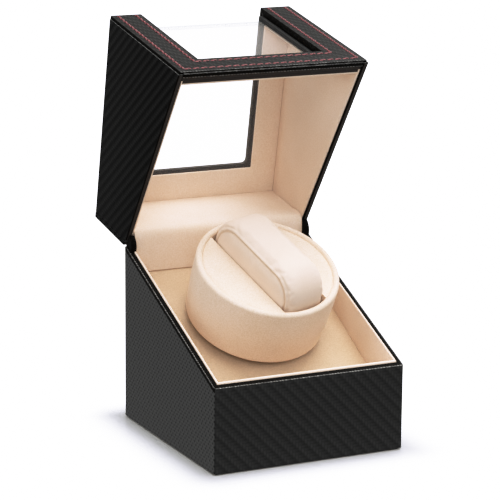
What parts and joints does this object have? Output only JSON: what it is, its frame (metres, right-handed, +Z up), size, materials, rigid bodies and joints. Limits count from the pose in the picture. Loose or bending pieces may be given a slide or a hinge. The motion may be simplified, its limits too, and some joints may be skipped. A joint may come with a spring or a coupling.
{
  "type": "watch winder box",
  "caption": "Watch winder box: a leather covered case with a sloped rim, a hinged lid with a wrap-round window, and a padded drum that a gear motor turns on a tilted deck.",
  "frame": {"origin": "centre of the underside, on the plane that the felt pad rests on", "axes": "+Z up, +X to the right as seen from the front, -Y towards the front"},
  "size_m": [0.13, 0.1871, 0.2595],
  "materials": {
    "black_leather": "satin, embossed in a fine diagonal twill",
    "frame_leather": "satin, embossed in a fine diagonal twill, red stitching",
    "board": "raw fibreboard",
    "felt": "matte felt",
    "cream_velvet": "short velvet",
    "cushion_velvet": "short velvet with seams",
    "window_glass": "clear",
    "gasket_rubber": "matte",
    "steel": "plated",
    "brass": "turned",
    "black_plastic": "moulded",
    "white_plastic": "moulded",
    "circuit_board": "solder mask",
    "lead_red": "insulated wire"
  },
  "bodies": {
    "base": {"base_leather": "black_leather", "base_front_board": "board", "base_back_board": "board", "base_left_board": "board", "base_right_board": "board", "base_floor": "board", "base_felt_pad": "felt", "lining_front": "cream_velvet", "lining_back": "cream_velvet", "lining_left": "cream_velvet", "lining_right": "cream_velvet", "deck_board": "board", "deck_velvet": "cream_velvet", "deck_rails": "board", "gearbox_plate": "black_plastic", "gearbox_case": "black_plastic", "gearbox_screws": "steel", "gear_axles": "steel", "shaft_bush": "brass", "motor_can": "steel", "motor_end_cap": "white_plastic", "control_board": "circuit_board", "board_parts": "black_plastic", "board_spacers": "steel", "inner_leads": "lead_red", "dc_jack": "black_plastic", "dc_jack_nut": "steel", "mode_switch": "black_plastic", "hinge_base_leaves": "steel", "hinge_pins": "steel", "hinge_flap": "cream_velvet"},
    "lid": {"lid_left_panel": "black_leather", "lid_right_panel": "black_leather", "lid_back_panel": "black_leather", "front_frame": "frame_leather", "top_frame": "frame_leather", "window_gasket": "gasket_rubber", "front_pane": "window_glass", "top_pane": "window_glass", "lid_lining_left": "cream_velvet", "lid_lining_right": "cream_velvet", "lid_lining_back": "cream_velvet", "lid_lining_front": "cream_velvet", "lid_lining_top": "cream_velvet", "hinge_lid_leaves": "steel"},
    "drum": {"drum_hub": "black_plastic", "hub_screws": "steel", "drum_base": "black_plastic", "drum_wall": "cream_velvet", "drum_left_pad": "cream_velvet", "drum_right_pad": "cream_velvet", "drum_slot_pad": "cream_velvet", "output_shaft": "steel", "output_gear": "white_plastic"},
    "cushion": {"cushion": "cushion_velvet"},
    "second_gear": {"second_gear": "white_plastic"},
    "first_gear": {"first_gear": "white_plastic"},
    "motor_rotor": {"motor_pinion": "steel"},
    "mode_switch_lever": {"mode_switch_lever": "white_plastic"}
  },
  "joints": [
    {"name": "lid_hinge", "type": "hinge", "parent": "base", "child": "lid", "pos_m": [0, 0.068, 0.11428], "axis": [-1, 0, 0], "range_deg": [-79, 0], "deforming": ["hinge_flap"]},
    {"name": "drum_spin", "type": "hinge", "parent": "base", "child": "drum", "pos_m": [0, 0.014, 0.06963], "axis": [0, -0.4848, 0.8746], "continuous": true},
    {"name": "cushion_lift", "type": "slide", "parent": "drum", "child": "cushion", "axis": [0, -0.4848, 0.8746], "range_m": [0, 0.012]},
    {"name": "second_gear_spin", "type": "hinge", "parent": "base", "child": "second_gear", "pos_m": [0, -0.00174, 0.0609], "axis": [0, -0.4848, 0.8746], "continuous": true},
    {"name": "first_gear_spin", "type": "hinge", "parent": "base", "child": "first_gear", "pos_m": [-0.018, -0.00174, 0.0609], "axis": [0, -0.4848, 0.8746], "continuous": true},
    {"name": "motor_spin", "type": "hinge", "parent": "base", "child": "motor_rotor", "pos_m": [-0.018, 0.014, 0.06963], "axis": [0, -0.4848, 0.8746], "continuous": true},
    {"name": "mode_switch_slide", "type": "slide", "parent": "base", "child": "mode_switch_lever", "axis": [1, 0, 0], "range_m": [-0.002, 0.002]}
  ],
  "couplings": [
    {"joint": "second_gear_spin", "follows": "drum_spin", "ratio": -5},
    {"joint": "first_gear_spin", "follows": "drum_spin", "ratio": 25},
    {"joint": "motor_spin", "follows": "drum_spin", "ratio": -125}
  ]
}
